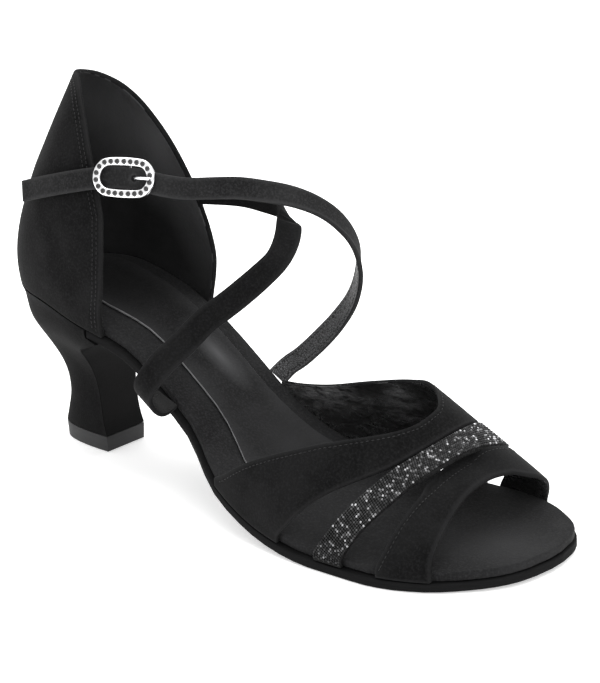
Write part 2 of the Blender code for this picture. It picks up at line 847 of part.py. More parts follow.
def make_cross_strap(counter, finish):
    points, widths = [], []
    x = CROSS_STRAP[0][0] * LENGTH
    half = CROSS_STRAP_WIDTH / 2
    foot = edge_at(x + half, LATERAL, 5 * GAP)
    fall = insole_top(x - half) - insole_top(x + half)
    points.append(Vector((x, foot.y, outsole_top(x) + 2 * GAP + STRAP_T * 0.65)))
    widths.append(Vector((-2 * half, 0, fall)))
    for row in CROSS_STRAP:
        p, w = above_bed(row)
        points.append(p)
        widths.append(w)
    z = SEAT_HEIGHT + FRONT_EDGE["cross_strap"] * COUNTER_HEIGHT
    end = counter.front_edge(MEDIAL, z)
    low = counter.front_edge(MEDIAL, z - half)
    points.append(Vector((max(end.x, low.x) + STITCHED_GAP, end.y, z)))
    widths.append(Vector((0, 0, 1)))
    frames = smooth_path(points, widths, 72)
    return make_ribbon("cross_strap", frames, CROSS_STRAP_WIDTH, STRAP_T, finish)


def make_buckle_frame(seat, finish):
    base = STRAP_T / 2 + GAP + RING_SLACK
    rings = []
    count = 40
    for k in range(count):
        angle = 2 * math.pi * k / count
        straight = (RING_LENGTH - RING_HEIGHT) / 2
        ring = []
        for side, lift in RING_SECTION:
            radius = RING_HEIGHT / 2 - RING_BAND / 2 + side * RING_BAND / 2
            along = math.copysign(straight, math.cos(angle)) * min(1.0, abs(math.cos(angle)) * 3)
            along += radius * math.cos(angle)
            ring.append(seat.at(along, base + lift * RING_T, radius * math.sin(angle)))
        rings.append(ring)
    frame = stack("buckle_frame", rings, finish, closed=True)
    depth = STRAP_T / 2 + GAP + BAR_RADIUS
    top = RING_HEIGHT / 2 - BAR_RADIUS - GAP
    bar = []
    route = [(base + RING_T * 0.5, top), (-depth * 0.4, top), (-depth, top - BAR_RADIUS)]
    route += [(-depth, 0.0)] + [(o, -u) for o, u in reversed(route)]
    for i, (out, up) in enumerate(route):
        before = route[max(i - 1, 0)]
        after = route[min(i + 1, len(route) - 1)]
        way = Vector((0, after[0] - before[0], after[1] - before[1])).normalized()
        side = Vector((0, -way.z, way.y))
        ring = []
        for k in range(8):
            angle = 2 * math.pi * k / 8
            along = BAR_RADIUS * math.cos(angle)
            off = side * BAR_RADIUS * math.sin(angle)
            ring.append(seat.at(along, out + off.y, up + off.z))
        bar.append(ring)
    guide = stack("buckle_bar_guide", bar, finish)
    apply_cut(frame, guide, "UNION")
    return frame


def make_prong(seat, finish):
    depth = STRAP_T / 2 + GAP + BAR_RADIUS
    hook = BAR_RADIUS + GAP + PRONG_RADIUS
    top = STRAP_T / 2 + GAP + RING_SLACK + RING_T
    thin = PRONG_RADIUS
    route = []
    for k in range(6):
        angle = math.radians(180 + 150 * k / 5)
        route.append((hook * math.cos(angle), -depth + hook * math.sin(angle)))
    route += [
        (PRONG_HOLE - 0.8 * thin, -STRAP_T / 2 - 1.2 * thin),
        (PRONG_HOLE, 0.0),
        (PRONG_HOLE + thin, STRAP_T / 2 + 1.7 * thin),
        (PRONG_HOLE + 5 * thin, top + 0.9 * thin),
        (RING_LENGTH / 2 - RING_BAND * 0.75, top + GAP + PRONG_RADIUS),
        (RING_LENGTH / 2 - RING_BAND * 0.30, top + GAP + PRONG_RADIUS),
    ]
    rings = []
    for i, (along, out) in enumerate(route):
        before, after = route[max(i - 1, 0)], route[min(i + 1, len(route) - 1)]
        way = Vector((after[0] - before[0], after[1] - before[1])).normalized()
        ring = []
        for k in range(8):
            angle = 2 * math.pi * k / 8
            a, b = PRONG_RADIUS * math.cos(angle), PRONG_RADIUS * math.sin(angle)
            ring.append(seat.at(along - way.y * a, out + way.x * a, b))
        rings.append(ring)
    return stack("buckle_prong", rings, finish)


def make_buckle_tab(seat, finish):
    """Short tab from the quarter's edge that wraps the bar on both sides of the prong."""
    depth = STRAP_T / 2 + GAP + BAR_RADIUS
    wrap = BAR_RADIUS + GAP + TAB_T / 2
    half = ANKLE_STRAP_WIDTH * 0.36
    low = seat.counter.front_edge(LATERAL, seat.edge.z - half) - seat.centre
    start = seat.edge - seat.centre
    begin = max(start.dot(seat.forward), low.dot(seat.forward)) + STITCHED_GAP
    route = [(begin, start.dot(seat.out))]
    route.append((-wrap - 5 * BAR_RADIUS, -depth - TAB_T))
    for k in range(7):
        angle = math.radians(200 + 150 * k / 6)
        route.append((wrap * math.cos(angle), -depth + wrap * math.sin(angle)))
    rings = []
    for i, (along, out) in enumerate(route):
        before, after = route[max(i - 1, 0)], route[min(i + 1, len(route) - 1)]
        way = Vector((after[0] - before[0], after[1] - before[1])).normalized()
        side = Vector((-way.y, way.x)) * TAB_T / 2
        rings.append([
            seat.at(along - side.x, out - side.y, -half),
            seat.at(along + side.x, out + side.y, -half),
            seat.at(along + side.x, out + side.y, half),
            seat.at(along - side.x, out - side.y, half),
        ])
    tab = stack("buckle_tab", rings, finish)
    size = (9.5 * BAR_RADIUS, 10 * BAR_RADIUS, 2 * PRONG_RADIUS + 4 * GAP, 1)
    place = seat.at(1.1 * BAR_RADIUS, -depth - 1.2 * BAR_RADIUS, 0)
    bpy.ops.mesh.primitive_cube_add(size=1)
    slot = bpy.context.object
    slot.name = "prong_slot_guide"
    slot.matrix_world = seat_matrix(seat, place) @ Matrix.Diagonal(size)
    apply_cut(tab, slot)
    return tab


def seat_matrix(seat, place):
    rows = Matrix((seat.forward, seat.out, seat.up)).transposed().to_4x4()
    return Matrix.Translation(place) @ rows


def stand_on_origin(pieces):
    """Puts the shoe's box over the origin, with its lowest faces on the floor."""
    bpy.context.view_layer.update()
    depsgraph = bpy.context.evaluated_depsgraph_get()
    points = []
    for piece in pieces:
        mesh = piece.evaluated_get(depsgraph).data
        points += [piece.matrix_world @ v.co for v in mesh.vertices]
    low = [min(p[i] for p in points) for i in range(3)]
    high = [max(p[i] for p in points) for i in range(3)]
    return Vector((-(low[0] + high[0]) / 2, -(low[1] + high[1]) / 2, -low[2]))


def build():
    for old in list(bpy.data.objects):
        bpy.data.objects.remove(old)
    nubuck = material("black nubuck", (0.012, 0.012, 0.013), 0.9)
    heel_cover = material("black heel cover", (0.010, 0.010, 0.011), 0.85)
    suede = material("grey suede sole", (0.060, 0.058, 0.056), 0.95)
    sock = material("black sock", (0.014, 0.014, 0.015), 0.7)
    rubber = material("dark grey top lift", (0.050, 0.050, 0.052), 0.5)
    glitter = material("dark silver glitter", (0.20, 0.20, 0.21), 0.35, 0.8)
    steel = material("polished buckle", (0.75, 0.75, 0.76), 0.15, 1.0)

    counter = Counter()
    forefoot = Forefoot()
    seat = BuckleSeat(counter)
    pieces = [
        make_outsole(suede),
        make_insole(sock),
        make_sock_pad(sock),
        make_heel(heel_cover),
        make_heel_tip(rubber),
        make_counter(counter, nubuck),
        make_band(forefoot, "vamp_band", VAMP, 7, nubuck),
        make_band(forefoot, "glitter_strap", GLITTER, 3, glitter),
        make_band(forefoot, "toe_band", TOE_BAND, 4, nubuck),
        make_ankle_strap(counter, seat, nubuck),
        make_cross_strap(counter, nubuck),
        make_buckle_frame(seat, steel),
        make_prong(seat, steel),
        make_buckle_tab(seat, nubuck),
    ]
    shoe = bpy.data.objects.new("dance_shoe", None)
    bpy.context.scene.collection.objects.link(shoe)
    move = stand_on_origin(pieces)
    for piece in list(bpy.data.objects):
        if piece is not shoe:
            piece.parent = shoe
    shoe.location = move


build()
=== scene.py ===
"""Ballroom dance sandal for the right foot, dressed in its leathers, beads and metal."""

import math

import bmesh
import bpy
import numpy as np
from mathutils import Matrix, Vector


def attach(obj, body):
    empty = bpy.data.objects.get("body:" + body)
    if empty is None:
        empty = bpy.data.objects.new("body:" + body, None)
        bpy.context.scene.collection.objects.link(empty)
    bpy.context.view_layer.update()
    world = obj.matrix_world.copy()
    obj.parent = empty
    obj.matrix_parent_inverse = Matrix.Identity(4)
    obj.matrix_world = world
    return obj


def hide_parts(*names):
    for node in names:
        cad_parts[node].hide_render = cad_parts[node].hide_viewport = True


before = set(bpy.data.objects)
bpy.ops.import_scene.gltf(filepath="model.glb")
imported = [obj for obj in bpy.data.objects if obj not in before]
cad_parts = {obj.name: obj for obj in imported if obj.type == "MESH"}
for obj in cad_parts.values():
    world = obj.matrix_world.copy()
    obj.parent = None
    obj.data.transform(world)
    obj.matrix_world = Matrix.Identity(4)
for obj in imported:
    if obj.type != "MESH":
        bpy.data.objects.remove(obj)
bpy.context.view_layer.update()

# The photographer's view: the lens stands in front of the toe on the lateral side, a
# little above the instep, and leans slightly.  The focal length is long, for a flat look.
LENS_TURN = math.radians(47.616)
LENS_RAISE = math.radians(18.253)
LENS_ROLL = math.radians(-2.604)
LENS_WAY = 0.6383
LENS_AIM = Vector((0.00519, 0.01143, 0.05306))

away = Vector((
    math.cos(LENS_TURN) * math.cos(LENS_RAISE),
    -math.sin(LENS_TURN) * math.cos(LENS_RAISE),
    math.sin(LENS_RAISE),
))
level = (-away).cross(Vector((0, 0, 1))).normalized()
upright = level.cross(-away)
across = level * math.cos(LENS_ROLL) + upright * math.sin(LENS_ROLL)
upward = upright * math.cos(LENS_ROLL) - level * math.sin(LENS_ROLL)
bpy.ops.object.camera_add()
lens = bpy.context.object
lens.name = "photo_lens"
lens.matrix_world = Matrix.Translation(LENS_AIM + away * LENS_WAY) @ Matrix(
    (across, upward, away)
).transposed().to_4x4()
lens.data.sensor_fit = "AUTO"
lens.data.sensor_width = 36.0
lens.data.lens = 97.8
lens.data.clip_start = 0.01
bpy.context.scene.camera = lens
bpy.context.scene.view_settings.view_transform = "Standard"


# Shader maths.  A socket in an expression adds Math nodes, and every other node of a
# finish comes from Finish.add, with its settings first and then its values or links.
class Socket:
    def __init__(self, finish, output):
        self.finish = finish
        self.output = output

    def math(self, operation, a, b):
        return self.finish.add("ShaderNodeMath", {"operation": operation}, {0: a, 1: b})

    def __add__(self, other):
        return self.math("ADD", self, other)

    def __sub__(self, other):
        return self.math("SUBTRACT", self, other)

    def __rsub__(self, other):
        return self.math("SUBTRACT", other, self)

    def __mul__(self, other):
        return self.math("MULTIPLY", self, other)

    def clipped(self):
        return self.finish.add(
            "ShaderNodeMath", {"operation": "ADD", "use_clamp": True}, {0: self, 1: 0.0}
        )

    __radd__ = __add__
    __rmul__ = __mul__


class Finish:
    """Material on one Principled shader, built up node by node."""

    def __init__(self, name, **fixed):
        self.material = bpy.data.materials.new(name)
        self.material.use_nodes = True
        self.tree = self.material.node_tree
        self.shader = self.tree.nodes["Principled BSDF"]
        for socket, value in fixed.items():
            self.shader.inputs[socket.replace("_", " ")].default_value = value

    def feed(self, socket, value):
        if isinstance(value, Socket):
            self.tree.links.new(value.output, socket)
        elif hasattr(value, "__len__") and len(value) == 3 and socket.type == "RGBA":
            socket.default_value = (*value, 1.0)
        else:
            socket.default_value = value

    def add(self, kind, settings, values, output=0):
        node = self.tree.nodes.new(kind)
        for setting, value in settings.items():
            setattr(node, setting, value)
        for socket, value in values.items():
            self.feed(node.inputs[socket], value)
        return Socket(self, node.outputs[output])

    def set(self, socket, value):
        self.feed(self.shader.inputs[socket], value)

    def place(self, stretch=(1, 1, 1)):
        spot = self.add("ShaderNodeTexCoord", {}, {}, "Object")
        return self.add("ShaderNodeMapping", {}, {"Vector": spot, "Scale": stretch})

    def noise(self, scale, detail=2.0, rough=0.5, stretch=(1, 1, 1)):
        spot = self.place(stretch)
        values = {"Vector": spot, "Scale": scale, "Detail": detail, "Roughness": rough}
        return self.add("ShaderNodeTexNoise", {}, values, "Fac")

    def cells(self, scale, feature="F1", output="Distance", stretch=(1, 1, 1)):
        spot = self.place(stretch)
        return self.add(
            "ShaderNodeTexVoronoi", {"feature": feature}, {"Vector": spot, "Scale": scale}, output
        )

    def ramp(self, value, stops):
        result = self.add("ShaderNodeValToRGB", {}, {"Fac": value}, "Color")
        elements = result.output.node.color_ramp.elements
        while len(elements) < len(stops):
            elements.new(0.5)
        for element, (spot, grey) in zip(elements, stops):
            element.position = spot
            element.color = (grey, grey, grey, 1)
        return result

    def mix(self, share, first, second):
        return self.add(
            "ShaderNodeMix", {"data_type": "RGBA"}, {0: share, 6: first, 7: second}, 2
        )

    def near(self, spot, reach):
        """Soft patch that is 1 at a spot and 0 outside its reach along each axis."""
        scale = [1 / r for r in reach]
        shift = [-c * k for c, k in zip(spot, scale)]
        values = {"Vector": self.add("ShaderNodeTexCoord", {}, {}, "Object"),
                  "Location": shift, "Scale": scale}
        place = self.add("ShaderNodeMapping", {}, values)
        far = self.add("ShaderNodeVectorMath", {"operation": "LENGTH"}, {0: place}, "Value")
        return self.ramp(far, [(0.0, 1.0), (0.45, 0.45), (1.0, 0.0)])

    def own(self, name):
        return self.add("ShaderNodeAttribute", {"attribute_name": name}, {}, "Fac")

    def bump(self, height, strength, distance):
        values = {"Height": height, "Strength": strength, "Distance": distance}
        self.set("Normal", self.add("ShaderNodeBump", {}, values, "Normal"))


# White sweep and soft boxes: the shoe stands on a plain white table that glows a little, lit
# from overhead by large diffused lamps, so that its shadow is faint and close.
card = Finish("white_card", Roughness=0.8)
card.set("Base Color", card.mix(card.noise(3.0), (0.90, 0.90, 0.90), (0.93, 0.93, 0.93)))
card.set("Emission Color", card.mix(card.noise(3.0), (0.95, 0.95, 0.95), (1.0, 1.0, 1.0)))
card.shader.inputs["Emission Strength"].default_value = 0.42
bpy.ops.mesh.primitive_plane_add(size=8, location=(0, 0, -0.0002))
floor = bpy.context.object
floor.name = "floor_card"
floor.data.materials.append(card.material)

SOFT_BOXES = [
    # name, place, size, watts
    ("box_overhead", (0.00, 0.30, 1.20), 1.2, 10.0),
    ("box_front", (0.85, -0.35, 0.80), 0.8, 2.5),
    ("box_left", (-0.70, 0.20, 0.90), 0.8, 3.0),
]
for name, spot, size, watts in SOFT_BOXES:
    bpy.ops.object.light_add(type="AREA", location=spot)
    box = bpy.context.object
    box.name = name
    box.data.size = size
    box.data.energy = watts
    box.rotation_euler = (Vector(spot) - Vector((0, 0, 0.04))).to_track_quat("Z", "Y").to_euler()
world = bpy.data.worlds.new("studio_air")
world.use_nodes = True
world.node_tree.nodes["Background"].inputs["Color"].default_value = (1, 1, 1, 1)
world.node_tree.nodes["Background"].inputs["Strength"].default_value = 1.0
bpy.context.scene.world = world


# Leathers of the upper.  Nubuck is buffed calf: a matte nap with faint darker and lighter
# clouds, which is a little lighter along cut and folded edges, partly from wear and partly as a
# painted highlight.  A patch of painted light or painted shade lightens or darkens it softly
# about one spot.
def nubuck(name, dark, light, nap=0.03, painted_light_patches=()):
    skin = Finish(name, Roughness=0.9, Sheen_Weight=nap, Sheen_Roughness=0.5)
    skin.shader.inputs["Specular IOR Level"].default_value = 0.06
    clouds = skin.noise(38, 3.0, 0.6)
    hair = skin.noise(1200, 4.0, 0.75)
    tone = skin.mix(skin.ramp(clouds, [(0.36, 0.0), (0.62, 1.0)]), dark, light)
    speck = skin.mix(skin.ramp(hair, [(0.46, 0.0), (0.70, 0.6)]), tone, [2.4 * c for c in light])
    lint = skin.ramp(skin.cells(210), [(0.0, 1.0), (0.035, 0.0)])
    dusty = skin.mix(lint * clouds * 0.5, speck, [5.0 * c for c in light])
    # Edge wear and painted highlight: the colour turns lighter near the rims.
    edge_wear_and_highlight = (skin.own("rim") * (0.25 + clouds * 0.6)).clipped()
    worn_and_painted_tone = skin.mix(edge_wear_and_highlight, dusty, [2.4 * c for c in light])
    # Painted light and painted shade: each patch lightens or darkens the colour about one spot.
    for spot, reach, gain in painted_light_patches:
        worn_and_painted_tone = skin.mix(skin.near(spot, reach), worn_and_painted_tone, [gain * c for c in light])
    skin.set("Base Color", worn_and_painted_tone)
    skin.set("Roughness", 0.97 - clouds * 0.2)
    skin.bump(hair + clouds * 0.6, 0.35, 0.00025)
    return skin


upper_skin = nubuck("black_nubuck", (0.0020, 0.0020, 0.0021), (0.0068, 0.0068, 0.0070))


# Linings: thin pigmented leather with a fine pore grain and a low shine.  The straps' own
# lining has a coarser, net-like grain.
def lining(name, tone, roughness, painted_light_patches=()):
    skin = Finish(name, Roughness=roughness)
    skin.shader.inputs["Specular IOR Level"].default_value = 0.20
    pores = skin.cells(1500)
    folds = skin.noise(90, 3.0, 0.6)
    face = skin.mix(folds, tone, [1.7 * c for c in tone])
    # Painted light: each patch lightens the lining's colour about one spot.
    for spot, reach, gain in painted_light_patches:
        face = skin.mix(skin.near(spot, reach), face, [gain * c for c in tone])
    skin.set("Base Color", face)
    skin.set("Roughness", roughness + (folds - 0.5) * 0.3)
    skin.bump(pores * 0.5 + folds * 0.6, 0.3, 0.0003)
    return skin


strap_lining = Finish("grained_strap_lining", Roughness=0.45)
grain = strap_lining.cells(1150, "DISTANCE_TO_EDGE")
threads = strap_lining.ramp(grain, [(0.02, 0.0), (0.16, 1.0)])
strap_lining.set("Base Color", strap_lining.mix(threads, (0.006, 0.006, 0.006),
                                                (0.085, 0.085, 0.088)))
strap_lining.set("Roughness", 0.65 - threads * 0.25)
strap_lining.bump(threads, 0.7, 0.0004)
# Painted light: the two patches make the lining lighter toward the top of the counter.
back_lining = lining("smooth_back_lining", (0.0130, 0.0130, 0.0133), 0.5, [
    # spot, reach, gain
    ((-0.066, 0.021, 0.118), (0.034, 0.030, 0.040), 9.0),
    ((-0.050, 0.027, 0.090), (0.022, 0.022, 0.034), 6.0),
])


# A dressed piece is a copy of its plain solid: loose facets are merged, the turned edges
# are rounded and the faces subdivided, and what faces the foot can take a second leather.
EDGE_SHARE = 0.45
SHARP_TURN = math.radians(50)
RIM_PITCH = 0.0006
RIM_BATCH = 400


def grain_side(mesh, heart):
    """Faces on the outside, as areas bounded by sharp edges that face away from the heart."""
    work = bmesh.new()
    work.from_mesh(mesh)
    work.faces.ensure_lookup_table()
    label = [-1] * len(work.faces)
    areas = []
    for seed in work.faces:
        if label[seed.index] >= 0:
            continue
        label[seed.index] = len(areas)
        todo, facing, size = [seed], 0.0, 0.0
        while todo:
            face = todo.pop()
            middle = face.calc_center_median()
            facing += face.calc_area() * face.normal.dot(middle - heart(middle))
            size += face.calc_area()
            for side in face.edges:
                if len(side.link_faces) != 2:
                    continue
                if side.calc_face_angle(0.0) > SHARP_TURN:
                    continue
                for near in side.link_faces:
                    if label[near.index] < 0:
                        label[near.index] = len(areas)
                        todo.append(near)
        areas.append((size, facing))
    big = max(size for size, _ in areas)
    kinds = []
    for size, facing in areas:
        if size < EDGE_SHARE * big:
            kinds.append("edge")
        else:
            kinds.append("outside" if facing > 0 else "inside")
    work.free()
    return [kinds[k] for k in label]


def plain_copy(node, name):
    """Merged copy of a solid, with quads where its triangles came from quads."""
    bpy.ops.object.select_all(action="DESELECT")
    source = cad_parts[node]
    piece = bpy.data.objects.new(name, source.data.copy())
    bpy.context.scene.collection.objects.link(piece)
    piece.data.materials.clear()
    piece.select_set(True)
    bpy.context.view_layer.objects.active = piece
    bpy.ops.object.mode_set(mode="EDIT")
    bpy.ops.mesh.select_all(action="SELECT")
    bpy.ops.mesh.customdata_custom_splitnormals_clear()
    bpy.ops.mesh.remove_doubles(threshold=0.00001)
    bpy.ops.mesh.tris_convert_to_quads(
        face_threshold=math.radians(40), shape_threshold=math.radians(70)
    )
    bpy.ops.object.mode_set(mode="OBJECT")
    return piece


def rounded(width, segments, profile=0.5):
    return ("BEVEL", {"width": width, "segments": segments, "limit_method": "ANGLE",
                      "angle_limit": SHARP_TURN, "profile": profile})


def finer(levels, way="CATMULL_CLARK"):
    return ("SUBSURF", {"levels": levels, "render_levels": levels, "subdivision_type": way})


def settle(piece, *modifiers):
    """Adds modifiers with their settings in turn and applies them."""
    bpy.ops.object.select_all(action="DESELECT")
    piece.select_set(True)
    bpy.context.view_layer.objects.active = piece
    for kind, settings in modifiers:
        step = piece.modifiers.new(kind.title(), kind)
        for setting, value in settings.items():
            setattr(step, setting, value)
        bpy.ops.object.modifier_apply(modifier=step.name)
    bpy.ops.object.shade_smooth()


def mark_rims(piece, lines, reach=0.0009):
    """Writes how near each point is to the lines, such as cut edges, for edge wear and a painted
    highlight on the leather.
    """
    points = np.array([v.co for v in piece.data.vertices])
    marks = np.full(len(points), 9.0)
    for start in range(0, len(lines), RIM_BATCH):
        part = np.array(lines[start:start + RIM_BATCH])
        gap = np.linalg.norm(points[:, None, :] - part[None, :, :], axis=2).min(axis=1)
        marks = np.minimum(marks, gap)
    rim = piece.data.attributes.new("rim", "FLOAT", "POINT")
    rim.data.foreach_set("value", np.clip(1.4 - marks / reach, 0, 1))


def hems(piece, kinds, wanted="outside", corner=40):
    """Runs of points round one side of a wall, each with its way toward the middle of it."""
    work = bmesh.new()
    work.from_mesh(piece.data)
    work.faces.ensure_lookup_table()
    work.verts.ensure_lookup_table()
    onward = {}
    for side in work.edges:
        if len(side.link_faces) != 2:
            continue
        a, b = side.link_faces
        if (kinds[a.index] == wanted) == (kinds[b.index] == wanted):
            continue
        inner = a if kinds[a.index] == wanted else b
        for loop in inner.loops:
            if loop.edge is side:
                follow = loop.link_loop_next.vert.index
                onward.setdefault(loop.vert.index, []).append((follow, inner.normal.copy()))
    runs = []
    while onward:
        start = next(iter(onward))
        spot, ring = start, []
        while spot in onward:
            follow, normal = onward[spot].pop()
            if not onward[spot]:
                del onward[spot]
            ring.append((work.verts[spot].co.copy(), normal))
            spot = follow
        runs.append(ring)
    pieces = []
    for ring in runs:
        count = len(ring)
        ways = [(ring[(k + 1) % count][0] - ring[k][0]).normalized() for k in range(count)]
        turns = [k for k in range(count) if ways[k - 1].angle(ways[k], 0) > math.radians(corner)]
        if not turns:
            turns = [0]
        for n, first in enumerate(turns):
            last = turns[(n + 1) % len(turns)]
            span = (last - first) % count or count
            run = []
            for step in range(span + 1):
                k = (first + step) % count
                way = ways[min(first + step, first + span - 1) % count]
                point, normal = ring[k]
                run.append((point, normal.cross(way).normalized()))
            pieces.append(run)
    work.free()
    return sorted(pieces, key=run_length, reverse=True)


def run_length(run):
    return sum((b[0] - a[0]).length for a, b in zip(run, run[1:]))


def even(run, pitch, trim=0.0):
    """Evenly spaced places along a run, with the way along and the way inward."""
    marks = [0.0]
    for a, b in zip(run, run[1:]):
        marks.append(marks[-1] + (b[0] - a[0]).length)
    spot, places, k = trim, [], 0
    while spot <= marks[-1] - trim:
        while k < len(run) - 2 and marks[k + 1] < spot:
            k += 1
        share = (spot - marks[k]) / max(marks[k + 1] - marks[k], 1e-9)
        point = run[k][0].lerp(run[k + 1][0], share)
        inward = run[k][1].lerp(run[k + 1][1], share).normalized()
        way = (run[k + 1][0] - run[k][0]).normalized()
        places.append((point, way, inward))
        spot += pitch
    return places


def row_of(name, pattern, places):
    """One mesh with a copy of the pattern at each place, turned to its way and normal."""
    shape = np.array([v.co for v in pattern.data.vertices])
    faces = [tuple(p.vertices) for p in pattern.data.polygons]
    points, sides = [], []
    for point, way, normal in places:
        way = (way - normal * way.dot(normal)).normalized()
        turn = np.array([way, normal.cross(way), normal])
        points.append(shape @ turn + np.array(point))
        shift = len(shape) * (len(points) - 1)
        sides += [tuple(i + shift for i in face) for face in faces]
    mesh = bpy.data.meshes.new(name)
    mesh.from_pydata(np.concatenate(points).tolist(), [], sides)
    mesh.shade_smooth()
    row = bpy.data.objects.new(name, mesh)
    bpy.context.scene.collection.objects.link(row)
    return row


def on_leather(piece, places, inset, lift):
    """Moves places in from the hem and seats them on the dressed leather."""
    seated = []
    for point, way, inward in places:
        hit, spot, normal, _ = piece.closest_point_on_mesh(point + inward * inset)
        if hit:
            seated.append((spot + normal * lift, way, normal))
    return seated


thread = Finish("waxed_black_thread", Roughness=0.5)
twist = thread.noise(1400, 1.0, 0.5, (1, 1, 1))
thread.set("Base Color", thread.mix(twist, (0.004, 0.004, 0.004), (0.022, 0.022, 0.023)))
thread.shader.inputs["Specular IOR Level"].default_value = 0.2
thread.bump(twist, 0.4, 0.0002)

STITCH_PITCH = 0.0017
STITCH_HALF = (0.00058, 0.00017, 0.00012)
STITCH_LIFT = 0.00002
bpy.ops.object.select_all(action="DESELECT")
bpy.ops.mesh.primitive_uv_sphere_add(segments=8, ring_count=5, radius=1.0)
stitch = bpy.context.object
stitch.name = "stitch_pattern"
for v in stitch.data.vertices:
    v.co = Vector([size * half for size, half in zip(v.co, STITCH_HALF)])


def sew(name, piece, run, inset, trim=0.002):
    """Row of stitches along a hem, set in from it and trimmed at both ends."""
    places = on_leather(piece, even(run, STITCH_PITCH, trim), inset, STITCH_LIFT)
    seam = row_of(name, stitch, places)
    seam.data.materials.append(thread.material)
    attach(seam, "root")


def pull(spot, start, end, width):
    """1 on the line from start to end, falling softly to 0 over the width beside it."""
    start, end = Vector(start), Vector(end)
    way = end - start
    share = min(max((spot - start).dot(way) / way.length_squared, 0.0), 1.0)
    return math.exp(-((spot - start - way * share).length / width) ** 2)


def crease(piece, heart, folds):
    """Presses soft troughs, or ridges with a negative depth, into both faces of a wall."""
    for v in piece.data.vertices:
        shift = sum(depth * pull(v.co, start, end, width) for start, end, width, depth in folds)
        v.co -= (v.co - heart(v.co)).normalized() * shift


def wall_piece(node, name, heart, outer, inner=None, bevel=0.00045, levels=1, folds=()):
    """Dressed wall of the upper with two leathers, and the hems of its two faces."""
    piece = plain_copy(node, name)
    kinds = grain_side(piece.data, heart)
    piece.data.materials.append(outer.material)
    piece.data.materials.append((inner or outer).material)
    for face, kind in zip(piece.data.polygons, kinds):
        face.material_index = 1 if kind == "inside" else 0
    outside = hems(piece, kinds)
    inside = hems(piece, kinds, "inside")
    settle(piece, rounded(bevel, 3, 0.6), finer(levels))
    crease(piece, heart, folds)
    mark_rims(piece, [place[0] for run in outside for place in even(run, RIM_PITCH)])
    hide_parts(node)
    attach(piece, "root")
    return piece, outside, inside


# Outsole: one layer of chrome suede from the heel's breast to the toe, brushed on its tread
# and stained black along the cut edge.
tread = Finish("brushed_suede_tread", Roughness=0.95, Sheen_Weight=0.2)
pile = tread.noise(1800, 3.0, 0.7)
scuff = tread.noise(30, 4.0, 0.65)
tread.set("Base Color", tread.mix(scuff, (0.035, 0.034, 0.033), (0.080, 0.078, 0.075)))
tread.set("Roughness", 0.98 - scuff * 0.15)
tread.bump(pile + scuff, 0.5, 0.0004)
stained = Finish("stained_sole_edge", Roughness=0.75)
fibres = stained.noise(500, 3.0, 0.6, (0.3, 0.3, 3.0))
stained.set("Base Color", stained.mix(fibres, (0.003, 0.003, 0.003), (0.011, 0.011, 0.0115)))
stained.shader.inputs["Specular IOR Level"].default_value = 0.06
stained.set("Roughness", 0.6 + fibres * 0.3)
stained.bump(fibres, 0.4, 0.0003)
sole = plain_copy("outsole", "outsole_dressed")
sole.data.materials.append(stained.material)
sole.data.materials.append(tread.material)
for face in sole.data.polygons:
    face.material_index = 1 if face.normal.z < -0.6 else 0
settle(sole, rounded(0.0004, 2), finer(2, "SIMPLE"))
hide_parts("outsole")
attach(sole, "root")

# Insole: a fibre board wrapped in black leather, whose edge shows all round the foot-bed.
# The wrap is pulled tight, so its top edge is rounded, and no edge is worn.
# Painted light: the foot-bed's leather is painted lighter toward the toe.
bed_skin = nubuck("foot_bed_leather", (0.0085, 0.0085, 0.0088), (0.0150, 0.0150, 0.0155), 0.04, [
    # spot, reach, gain
    ((0.098, 0.000, 0.007), (0.030, 0.022, 0.020), 1.7),
])
bed = plain_copy("insole", "insole_dressed")
bed.data.materials.append(bed_skin.material)
settle(bed, rounded(0.0008, 3), finer(2, "SIMPLE"))
mark_rims(bed, [])
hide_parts("insole")
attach(bed, "root")

# Sock pad: thin foam under soft leather, glued on the foot-bed from the seat to the ball.
# Its cut edge is pressed down and carries a painted highlight, the seat carries painted shade,
# and a painted sheen streak and a painted light patch lie on its top.
EDGE_STEEPNESS = 0.72
# Painted light and painted shade: a painted sheen streak, a lighter patch on the middle of the pad,
# and painted shade on the seat.
sock_skin = nubuck("sock_leather", (0.0080, 0.0080, 0.0083), (0.0150, 0.0150, 0.0155), 0.04, [
    # spot, reach, gain
    ((-0.0300, 0.0065, 0.0435), (0.020, 0.0065, 0.020), 5.0),
    ((0.010, 0.004, 0.020), (0.040, 0.022, 0.020), 1.5),
    ((-0.0780, 0.0020, 0.0580), (0.050, 0.034, 0.030), 0.12),
])
sock = plain_copy("sock_pad", "sock_pad_dressed")
sock.data.materials.append(sock_skin.material)
sock_kinds = grain_side(sock.data, lambda spot: spot - Vector((0, 0, 1)))
sock_hems = hems(sock, sock_kinds)
settle(sock, rounded(0.0004, 3), finer(2, "SIMPLE"))
mark_rims(sock, [place[0] for run in sock_hems for place in even(run, RIM_PITCH)])
# Painted highlight: the steep faces of the cut edge are painted light grey.
sock_edge = Finish("sock_edge_painted_highlight", Roughness=0.5)
sock_edge.set("Base Color", sock_edge.mix(sock_edge.noise(160), (0.050, 0.050, 0.051),
                                          (0.260, 0.260, 0.265)))
sock.data.materials.append(sock_edge.material)
for face in sock.data.polygons:
    if abs(face.normal.z) < EDGE_STEEPNESS:
        face.material_index = 1
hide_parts("sock_pad")
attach(sock, "root")

